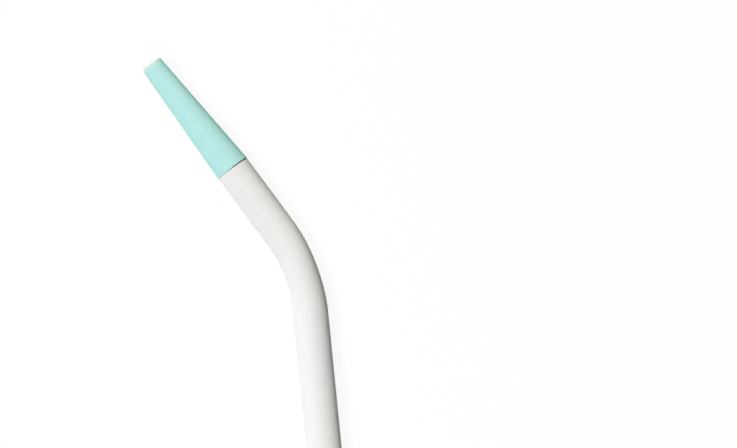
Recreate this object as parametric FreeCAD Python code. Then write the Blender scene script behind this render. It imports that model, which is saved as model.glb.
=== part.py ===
import FreeCAD, Part
import math
import os

# Suction cannula, in millimetres: a bent plastic tube with a tapered nozzle pressed into one end.
# It lies flat, as it does on a tray. +Z is up, the straight shaft points along +Y away from
# the hose, and the bend leans the nozzle towards -X.

# Tube
TUBE_OD = 11.0              # standard suction connection: the hose goes over this
WALL = 1.0
SHAFT_LENGTH = 79.0         # hose end to the start of the bend
BEND_RADIUS = 50.0          # to the tube's centreline
BEND_ANGLE = 30.9
NECK_LENGTH = 24.5          # straight part between the bend and the nozzle
HOSE_END_ROUND = 0.3
BORE_EDGE_ROUND = 0.15      # inner edge, at both ends of the tube
SEAM_ROUND = 0.12           # outer edges on both sides of the seam

# The warmed length of the tube goes a little oval while it is bent
FLATTENING = 0.048          # share of the radius lost in the plane of the bend and gained across it
FLATTEST_AT = 0.34          # share of the warmed length, from the shaft, to the most oval place
WARMED_NECK = 8.0           # how far the warmed length runs on from the bend into the neck
STATIONS = 13               # cross-sections that carry the oval along the warmed length

# Nozzle
NOZZLE_LENGTH = 41.6        # shoulder to mouth
NOZZLE_PROUD = 0.1          # the foot of the nozzle stands this far outside the tube all round
MOUTH_OD = 6.8
MOUTH_WALL = 0.9
MOUTH_LAND = 8.0            # straight length of the mouth's bore, before it widens
LIP_ROUND_SHARE = 0.84      # of the mouth's wall, taken by the lip's outer rounding
LIP_INNER_SHARE = 0.12      # of the mouth's wall, taken by its inner rounding
SPIGOT_LENGTH = 8.0         # part that is pressed into the tube
SPIGOT_CLEARANCE = 0.03     # all round, between the spigot's root and the tube's bore
SPIGOT_WALL = 0.95
SPIGOT_LEAD = 0.5           # chamfer that starts the spigot into the tube
NOZZLE_LEAN = 1.4           # degrees that the nozzle sits askew, towards the inside of the bend

TUBE_R = TUBE_OD / 2
BORE_R = TUBE_R - WALL
FOOT_R = TUBE_R + NOZZLE_PROUD
MOUTH_R = MOUTH_OD / 2
MOUTH_BORE_R = MOUTH_R - MOUTH_WALL
SPIGOT_R = BORE_R - SPIGOT_CLEARANCE
SPIGOT_END_R = SPIGOT_R - SPIGOT_LENGTH * math.tan(math.radians(NOZZLE_LEAN))
SPIGOT_BORE_R = SPIGOT_END_R - SPIGOT_WALL

# Distances along the centreline, from the hose end
BEND_RUN = BEND_RADIUS * math.radians(BEND_ANGLE)
WARMED_RUN = BEND_RUN + WARMED_NECK
BEND_END = SHAFT_LENGTH + BEND_RUN
WARMED_END = SHAFT_LENGTH + WARMED_RUN
SEAM = BEND_END + NECK_LENGTH

UP = FreeCAD.Vector(0, 0, 1)


def turned_at(run):
    """Angle in radians that the centreline has turned through at a distance along it."""
    return min(max(run - SHAFT_LENGTH, 0), BEND_RUN) / BEND_RADIUS


def heading_at(run):
    return FreeCAD.Vector(-math.sin(turned_at(run)), math.cos(turned_at(run)), 0)


def point_at(run):
    turned = turned_at(run)
    on_arc = FreeCAD.Vector(BEND_RADIUS * (math.cos(turned) - 1),
                            SHAFT_LENGTH + BEND_RADIUS * math.sin(turned), 0)
    return on_arc + heading_at(run) * (run - SHAFT_LENGTH - BEND_RADIUS * turned)


def bar(radius, start, end):
    """Round bar along a straight part of the centreline."""
    return Part.makeCylinder(radius, end - start, point_at(start), heading_at(end))


def oval_section(share, inset):
    """Outline of the tube's skin, or with an inset of its bore, at a share of the warmed length."""
    rise = 2
    fall = rise * (1 - FLATTEST_AT) / FLATTEST_AT
    oval = FLATTENING * (share / FLATTEST_AT) ** rise * ((1 - share) / (1 - FLATTEST_AT)) ** fall
    tall, wide = TUBE_R * (1 + oval) - inset, TUBE_R * (1 - oval) - inset
    outline = Part.Wire(Part.Ellipse(FreeCAD.Vector(), tall, wide).toShape())
    run = SHAFT_LENGTH + WARMED_RUN * share
    heading = heading_at(run)
    outline.Placement = FreeCAD.Placement(
        point_at(run), FreeCAD.Rotation(UP, heading.cross(UP), heading, "XZY"))
    return outline


def warmed_length(inset):
    """Solid with the oval section, round the bend and on into the neck."""
    arc = Part.Arc(point_at(SHAFT_LENGTH), point_at(SHAFT_LENGTH + BEND_RUN / 2), point_at(BEND_END))
    line = Part.LineSegment(point_at(BEND_END), point_at(WARMED_END))
    sweep = Part.BRepOffsetAPI.MakePipeShell(Part.Wire([arc.toShape(), line.toShape()]))
    sweep.setBiNormalMode(UP)
    for number in range(STATIONS):
        sweep.add(oval_section(number / (STATIONS - 1), inset))
    sweep.build()
    sweep.makeSolid()
    return sweep.shape()


def rim(solid, centre, radius):
    """Round edges of a solid that have the given centre and radius."""
    near = 0.01
    return [edge for edge in solid.Edges if isinstance(edge.Curve, Part.Circle)
            and edge.Curve.Center.distanceToPoint(centre) < near
            and abs(edge.Curve.Radius - radius) < near]


def make_tube():
    past_end = TUBE_R
    skin = bar(TUBE_R, 0, SHAFT_LENGTH).fuse([warmed_length(0), bar(TUBE_R, WARMED_END, SEAM)])
    bore = bar(BORE_R, -past_end, SHAFT_LENGTH).fuse(
        [warmed_length(WALL), bar(BORE_R, WARMED_END, SEAM + past_end)])
    tube = skin.cut(bore)
    for end, outer_round in ((point_at(0), HOSE_END_ROUND), (point_at(SEAM), SEAM_ROUND)):
        tube = tube.makeFillet(outer_round, rim(tube, end, TUBE_R))
        tube = tube.makeFillet(BORE_EDGE_ROUND, rim(tube, end, BORE_R))
    return tube


def make_nozzle():
    """Turned about +Z with its shoulder at zero, then seated in the neck."""
    corners = [
        (MOUTH_BORE_R, NOZZLE_LENGTH), (MOUTH_R, NOZZLE_LENGTH), (FOOT_R, 0), (SPIGOT_R, 0),
        (SPIGOT_END_R, SPIGOT_LEAD - SPIGOT_LENGTH), (SPIGOT_END_R - SPIGOT_LEAD / 2, -SPIGOT_LENGTH),
        (SPIGOT_BORE_R, -SPIGOT_LENGTH), (MOUTH_BORE_R, NOZZLE_LENGTH - MOUTH_LAND)]
    points = [FreeCAD.Vector(radius, 0, height) for radius, height in corners]
    nozzle = Part.Face(Part.makePolygon(points + points[:1])).revolve(FreeCAD.Vector(), UP, 360)
    shoulder, mouth = FreeCAD.Vector(), UP * NOZZLE_LENGTH
    nozzle = nozzle.makeFillet(LIP_ROUND_SHARE * MOUTH_WALL, rim(nozzle, mouth, MOUTH_R))
    nozzle = nozzle.makeFillet(LIP_INNER_SHARE * MOUTH_WALL, rim(nozzle, mouth, MOUTH_BORE_R))
    nozzle = nozzle.makeFillet(SEAM_ROUND, rim(nozzle, shoulder, FOOT_R))
    nozzle.Placement = FreeCAD.Placement(point_at(SEAM), FreeCAD.Rotation(UP, heading_at(SEAM)))
    # Its shoulder meets the tube on the inside of the bend, and the seam gapes on the outside
    inside = UP.cross(heading_at(SEAM))
    nozzle.rotate(point_at(SEAM) + inside * (TUBE_R - SEAM_ROUND), UP, NOZZLE_LEAN)
    return nozzle


tube = make_tube()
nozzle = make_nozzle()
box = Part.makeCompound([tube, nozzle]).optimalBoundingBox(False)
os.makedirs("parts", exist_ok=True)
for name, piece in (("tube", tube), ("nozzle", nozzle)):
    piece.translate(FreeCAD.Vector(-box.Center.x, -box.Center.y, -box.ZMin))
    piece.exportStep("parts/" + name + ".step")
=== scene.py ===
import math

import bmesh
import bpy
from mathutils import Matrix, Vector

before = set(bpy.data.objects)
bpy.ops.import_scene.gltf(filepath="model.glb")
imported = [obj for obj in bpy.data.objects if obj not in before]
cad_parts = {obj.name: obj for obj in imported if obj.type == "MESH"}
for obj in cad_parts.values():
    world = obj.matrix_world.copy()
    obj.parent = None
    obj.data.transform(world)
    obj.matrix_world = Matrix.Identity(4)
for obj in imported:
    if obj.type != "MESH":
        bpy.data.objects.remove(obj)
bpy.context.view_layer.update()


# The tube: extruded off-white plastic with a satin skin, warmed and bent once, cut off square.
# The skin has a very fine grain from the die, and faint milky clouds in the plastic itself.
def new_plastic(name):
    """Material with a Principled BSDF, and the Object coordinates that its patterns read."""
    plastic = bpy.data.materials.new(name)
    plastic.use_nodes = True
    nodes, link = plastic.node_tree.nodes, plastic.node_tree.links.new
    place = nodes.new("ShaderNodeTexCoord")
    return plastic, nodes, link, nodes["Principled BSDF"], place.outputs["Object"]


def dress(node, material):
    """Gives a CAD node its finished material."""
    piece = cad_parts[node]
    piece.data.materials.clear()
    piece.data.materials.append(material)


def new_group(name, vectors, floats, outputs):
    """Empty node group with its sockets; floats gives each number's name and usual value."""
    group = bpy.data.node_groups.new(name, "ShaderNodeTree")
    face = group.interface
    for socket in vectors:
        face.new_socket(socket, in_out="INPUT", socket_type="NodeSocketVector")
    for socket, usual in floats.items():
        number = face.new_socket(socket, in_out="INPUT", socket_type="NodeSocketFloat")
        number.default_value = usual
    for socket, kind in outputs.items():
        face.new_socket(socket, in_out="OUTPUT", socket_type=kind)
    nodes = group.nodes
    given, made = nodes.new("NodeGroupInput"), nodes.new("NodeGroupOutput")
    return group, nodes, group.links.new, given.outputs, made.inputs


def satin_skin_group():
    """Clouds in the colour, a moulded grain in the surface, and a gloss that varies a little."""
    group, nodes, link, given, made = new_group(
        "satin_skin", ["Place"],
        {"Cloud Size": 200.0, "Grain Size": 4000.0, "Grain Depth": 0.1,
         "Gloss Low": 0.4, "Gloss High": 0.5},
        {"Cloud": "NodeSocketFloat", "Roughness": "NodeSocketFloat", "Normal": "NodeSocketVector"})

    cloud = nodes.new("ShaderNodeTexNoise")
    cloud.inputs["Detail"].default_value = 3
    link(given["Place"], cloud.inputs["Vector"])
    link(given["Cloud Size"], cloud.inputs["Scale"])
    link(cloud.outputs["Fac"], made["Cloud"])

    grain = nodes.new("ShaderNodeTexNoise")
    grain.inputs["Detail"].default_value = 2
    link(given["Place"], grain.inputs["Vector"])
    link(given["Grain Size"], grain.inputs["Scale"])
    bump = nodes.new("ShaderNodeBump")
    bump.inputs["Distance"].default_value = 0.00002
    link(given["Grain Depth"], bump.inputs["Strength"])
    link(grain.outputs["Fac"], bump.inputs["Height"])
    link(bump.outputs["Normal"], made["Normal"])

    gloss = nodes.new("ShaderNodeMapRange")
    link(cloud.outputs["Fac"], gloss.inputs["Value"])
    link(given["Gloss Low"], gloss.inputs["To Min"])
    link(given["Gloss High"], gloss.inputs["To Max"])
    link(gloss.outputs["Result"], made["Roughness"])
    return group


def joint_line_group():
    """Painted shade of the gap where nozzle and tube meet, a thin dark line on the bend's outside.
    """
    group, nodes, link, given, made = new_group(
        "joint_line", ["Place", "Along", "Outwards"],
        {"Joint At": 0.0, "Half Width": 0.0001, "Unshaded Side": 0.0, "Shaded Side": 0.01},
        {"Gap Shade": "NodeSocketFloat"})

    along, outwards = nodes.new("ShaderNodeVectorMath"), nodes.new("ShaderNodeVectorMath")
    for reach, direction in ((along, "Along"), (outwards, "Outwards")):
        reach.operation = "DOT_PRODUCT"
        link(given["Place"], reach.inputs[0])
        link(given[direction], reach.inputs[1])
    off = nodes.new("ShaderNodeMath")
    off.operation = "SUBTRACT"
    link(along.outputs["Value"], off.inputs[0])
    link(given["Joint At"], off.inputs[1])
    away = nodes.new("ShaderNodeMath")
    away.operation = "ABSOLUTE"
    link(off.outputs["Value"], away.inputs[0])
    line = nodes.new("ShaderNodeMapRange")
    line.interpolation_type = "SMOOTHSTEP"
    line.inputs["To Min"].default_value = 1
    line.inputs["To Max"].default_value = 0
    link(away.outputs["Value"], line.inputs["Value"])
    link(given["Half Width"], line.inputs["From Max"])
    side = nodes.new("ShaderNodeMapRange")
    side.interpolation_type = "SMOOTHSTEP"
    link(outwards.outputs["Value"], side.inputs["Value"])
    link(given["Unshaded Side"], side.inputs["From Min"])
    link(given["Shaded Side"], side.inputs["From Max"])
    # painted shade: the line's darkness, stronger towards the outside of the bend
    gap_shade = nodes.new("ShaderNodeMath")
    gap_shade.operation = "MULTIPLY"
    link(line.outputs["Result"], gap_shade.inputs[0])
    link(side.outputs["Result"], gap_shade.inputs[1])
    link(gap_shade.outputs["Value"], made["Gap Shade"])
    return group


def placed(nodes, link, group, place, values):
    """Puts a shared effect in a material, with the material's own values."""
    effect = nodes.new("ShaderNodeGroup")
    effect.node_tree = group
    for socket, value in values.items():
        effect.inputs[socket].default_value = value
    link(place, effect.inputs["Place"])
    return effect


def clouded(nodes, link, cloud, clear, milky):
    """Colour that wanders between two near shades with the clouds, and gives the result."""
    ramp = nodes.new("ShaderNodeValToRGB")
    for stop, position, colour in zip(ramp.color_ramp.elements, (0.3, 0.7), (clear, milky)):
        stop.position = position
        stop.color = colour
    link(cloud, ramp.inputs["Fac"])
    return ramp.outputs["Color"]


def mixed(nodes, link, share, below, above):
    """Mixes the colour above over the one below, and gives the result."""
    mix = nodes.new("ShaderNodeMix")
    mix.data_type = "RGBA"
    first, second, result = mix.inputs[6], mix.inputs[7], mix.outputs[2]    # those for colours
    link(share, mix.inputs["Factor"])
    link(below, first)
    second.default_value = above
    return result


satin_skin, joint_line = satin_skin_group(), joint_line_group()
GRAIN_SIZE = 5000
GRAIN_DEPTH = 0.25
# The dark brown line at the joint is painted shade of the gap, darkest on the outside of the bend.
GAP_SHADE_BROWN = (0.05, 0.035, 0.022, 1)
GAP_SHADE_HALF_WIDTH = 0.00014
GAP_SHADE_FROM = -0.002              # from the axis outwards: where the painted shade begins,
GAP_SHADE_FULL = 0.003               # and where it is darkest
NECK_AXIS = (-0.513541, 0.858065, 0)
NECK_OUTWARDS = (0.858065, 0.513541, 0)
NECK_OUT_AT = 0.0227            # where the neck's axis lies in that direction
TUBE_END_AT = 0.038197          # where the tube ends along its axis

tube_plastic, nodes, link, shader, place = new_plastic("tube_plastic")
skin = placed(nodes, link, satin_skin, place, {
    "Cloud Size": 160, "Grain Size": GRAIN_SIZE, "Grain Depth": GRAIN_DEPTH,
    "Gloss Low": 0.55, "Gloss High": 0.65})
milk = clouded(nodes, link, skin.outputs["Cloud"],
               (0.861, 0.849, 0.838, 1), (0.881, 0.869, 0.859, 1))
joint = placed(nodes, link, joint_line, place, {
    "Along": NECK_AXIS, "Outwards": NECK_OUTWARDS, "Joint At": TUBE_END_AT,
    "Half Width": GAP_SHADE_HALF_WIDTH,
    "Unshaded Side": NECK_OUT_AT + GAP_SHADE_FROM, "Shaded Side": NECK_OUT_AT + GAP_SHADE_FULL})
# Mixes in the painted shade of the joint gap at the tube's end.
link(mixed(nodes, link, joint.outputs["Gap Shade"], milk, GAP_SHADE_BROWN), shader.inputs["Base Color"])
link(skin.outputs["Roughness"], shader.inputs["Roughness"])
link(skin.outputs["Normal"], shader.inputs["Normal"])
shader.inputs["IOR"].default_value = 1.49
shader.inputs["Specular IOR Level"].default_value = 0.25
shader.inputs["Diffuse Roughness"].default_value = 0.5
dress("tube", tube_plastic)


# The nozzle: a hollow mint-green moulding, pressed into the tube by hand a little askew.
# Its skin is satin from the mould; its rounded lip is painted paler, a painted highlight of
# the light on and through the thin lip. The sheen stands for the light that comes through
# the plastic and greens its flanks.
NOZZLE_AXIS = (-0.5343524, 0.8452618, 0)
NOZZLE_OUTWARDS = (0.8452618, 0.5343524, 0)
NOZZLE_OUT_AT = 0.0236          # where the nozzle's axis lies in that direction
SHOULDER_AT = 0.0377621         # where the shoulder and the mouth lie along its axis
MOUTH_AT = 0.079362
LIP_HIGHLIGHT_LENGTH = 0.00175

nozzle_plastic, nodes, link, shader, place = new_plastic("nozzle_plastic")
skin = placed(nodes, link, satin_skin, place, {
    "Cloud Size": 350, "Grain Size": GRAIN_SIZE, "Grain Depth": GRAIN_DEPTH,
    "Gloss Low": 0.5, "Gloss High": 0.6})
mint = clouded(nodes, link, skin.outputs["Cloud"],
               (0.523, 0.828, 0.808, 1), (0.544, 0.843, 0.823, 1))

# Painted highlight: the last stretch before the mouth is mixed towards a near-white mint.
reach = nodes.new("ShaderNodeVectorMath")
reach.operation = "DOT_PRODUCT"
reach.inputs[1].default_value = NOZZLE_AXIS
link(place, reach.inputs[0])
lip_highlight = nodes.new("ShaderNodeMapRange")
lip_highlight.inputs["From Min"].default_value = MOUTH_AT - LIP_HIGHLIGHT_LENGTH
lip_highlight.inputs["From Max"].default_value = MOUTH_AT
link(reach.outputs["Value"], lip_highlight.inputs["Value"])
with_lip_highlight = mixed(nodes, link, lip_highlight.outputs["Result"], mint, (0.86, 0.88, 0.87, 1))

joint = placed(nodes, link, joint_line, place, {
    "Along": NOZZLE_AXIS, "Outwards": NOZZLE_OUTWARDS, "Joint At": SHOULDER_AT,
    "Half Width": GAP_SHADE_HALF_WIDTH,
    "Unshaded Side": NOZZLE_OUT_AT + GAP_SHADE_FROM, "Shaded Side": NOZZLE_OUT_AT + GAP_SHADE_FULL})
# Mixes in the painted shade of the joint gap at the nozzle's shoulder.
link(mixed(nodes, link, joint.outputs["Gap Shade"], with_lip_highlight, GAP_SHADE_BROWN), shader.inputs["Base Color"])
link(skin.outputs["Roughness"], shader.inputs["Roughness"])
link(skin.outputs["Normal"], shader.inputs["Normal"])
shader.inputs["IOR"].default_value = 1.5
shader.inputs["Specular IOR Level"].default_value = 0.1
shader.inputs["Diffuse Roughness"].default_value = 0.5
shader.inputs["Sheen Weight"].default_value = 0.5
shader.inputs["Sheen Roughness"].default_value = 0.5
shader.inputs["Sheen Tint"].default_value = (0, 1, 0.85, 1)
dress("nozzle", nozzle_plastic)


# The table: one wide sheet of white paper that runs out of the picture on all sides.
# The camera sees it as paper white with the cannula's faint shadow, and so do reflections.
def seen_as_paper(nodes, link):
    """1 for a ray from the camera or from a reflection, 0 for light between surfaces."""
    rays = nodes.new("ShaderNodeLightPath")
    total = rays.outputs["Is Camera Ray"]
    for ray in ("Is Glossy Ray", "Is Transmission Ray"):
        either = nodes.new("ShaderNodeMath")
        either.operation = "MAXIMUM"
        link(total, either.inputs[0])
        link(rays.outputs[ray], either.inputs[1])
        total = either.outputs["Value"]
    return total


PAPER_SIZE = 6.0
PAPER_SHADE = 0.5
PAPER_SHARE = 0.85              # of plain white in what is seen; the rest shows the shadow
PAPER_WHITE = 1.087             # a little over 1, so that both shares together end at 1
scene = bpy.context.scene
sheet = bmesh.new()
bmesh.ops.create_grid(sheet, x_segments=1, y_segments=1, size=PAPER_SIZE / 2)
floor_mesh = bpy.data.meshes.new("floor")
sheet.to_mesh(floor_mesh)
sheet.free()
floor = bpy.data.objects.new("floor", floor_mesh)
scene.collection.objects.link(floor)
paper = bpy.data.materials.new("paper")
paper.use_nodes = True
nodes, link = paper.node_tree.nodes, paper.node_tree.links.new
matte = nodes["Principled BSDF"]
matte.inputs["Base Color"].default_value = (PAPER_SHADE, PAPER_SHADE, PAPER_SHADE, 1)
matte.inputs["Roughness"].default_value = 0.9
matte.inputs["Specular IOR Level"].default_value = 0.0
white = nodes.new("ShaderNodeEmission")
white.inputs["Color"].default_value = (1, 1, 1, 1)
white.inputs["Strength"].default_value = PAPER_WHITE
share = nodes.new("ShaderNodeMath")
share.operation = "MULTIPLY"
share.inputs[1].default_value = PAPER_SHARE
link(seen_as_paper(nodes, link), share.inputs[0])
mix = nodes.new("ShaderNodeMixShader")
link(share.outputs["Value"], mix.inputs["Fac"])
link(matte.outputs["BSDF"], mix.inputs[1])
link(white.outputs["Emission"], mix.inputs[2])
link(mix.outputs["Shader"], nodes["Material Output"].inputs["Surface"])
floor_mesh.materials.append(paper)


# The light: large soft lamps, most of it from high on the left, and a dark room with a white
# backdrop. Each lamp is placed by its bearing in the picture and its height above the table.
CAMERA_ROLL = math.radians(5.693)
LAMPS = [
    # name, bearing from the picture's right, counter-clockwise, and height, both in degrees;
    # distance from the origin, diameter, power and colour
    ("high_box", 170, 66, 1.2, 0.4, 10.6, (1, 1, 1)),
    ("low_strip", 110, 15, 1.2, 0.4, 5.25, (1, 1, 1)),
    ("near_box", 270, 50, 0.6, 0.25, 0.92, (1, 1, 1)),
    ("warm_fill", 85, 12, 1.2, 0.4, 2.6, (1, 0.95, 0.7)),
]
for name, bearing, height, distance, size, power, colour in LAMPS:
    lamp = bpy.data.lights.new(name, "AREA")
    lamp.shape = "DISK"
    lamp.size = size
    lamp.energy = power
    lamp.color = colour
    holder = bpy.data.objects.new(name, lamp)
    scene.collection.objects.link(holder)
    turn = math.radians(bearing) - CAMERA_ROLL
    rise = math.radians(height)
    level = math.cos(rise)
    towards = Vector((level * math.cos(turn), level * math.sin(turn), math.sin(rise)))
    holder.location = towards * distance
    holder.rotation_euler = towards.to_track_quat("Z", "Y").to_euler()
world = bpy.data.worlds.new("room")
world.use_nodes = True
nodes, link = world.node_tree.nodes, world.node_tree.links.new
backdrop = nodes["Background"]
backdrop.inputs["Color"].default_value = (1, 1, 1, 1)
link(seen_as_paper(nodes, link), backdrop.inputs["Strength"])
scene.world = world


# The camera: it looks straight down through a 75 mm lens, beside the cannula, rolled a little.
# The shaft runs out of the picture's lower edge, and the other cannulas' place stays empty.
CAMERA_AT = (0.0402849, 0.0231149, 0.4858627)
lens = bpy.data.cameras.new("camera")
lens.lens = 75
lens.sensor_width = 36
lens.clip_start = 0.01
camera = bpy.data.objects.new("camera", lens)
scene.collection.objects.link(camera)
camera.matrix_world = Matrix.Translation(CAMERA_AT) @ Matrix.Rotation(-CAMERA_ROLL, 4, "Z")
scene.camera = camera
scene.view_settings.view_transform = "Standard"
